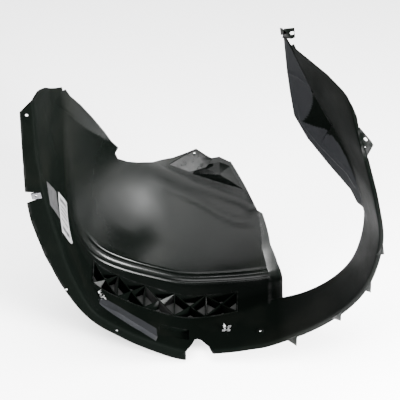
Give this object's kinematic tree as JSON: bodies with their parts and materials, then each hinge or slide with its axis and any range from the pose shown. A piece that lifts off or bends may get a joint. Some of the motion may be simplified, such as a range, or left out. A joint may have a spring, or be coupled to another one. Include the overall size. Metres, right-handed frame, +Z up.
{
  "type": "wheel arch liner",
  "caption": "Moulded plastic wheel arch liner: dished inboard wall, lattice-ribbed recess, narrow band, rear arm, lip spring nut and push-on clips.",
  "frame": {"origin": "in the mouth of the crown cut-out, in the outer lip's plane", "axes": "+X along the car towards the rear arm, +Y inboard from the outer lip, +Z up with the liner standing on its crown, arms up"},
  "size_m": [0.6857, 0.3211, 0.6345],
  "materials": {
    "liner_plastic": "black injection-moulded polypropylene, satin with fine grain, lightly dusty",
    "spring_steel": "bright zinc-plated spring steel sheet"
  },
  "bodies": {
    "root": {"liner_shell": "liner_plastic", "lip_spring_nut": "spring_steel", "front_clip": "spring_steel", "crown_clip": "spring_steel"}
  },
  "joints": []
}
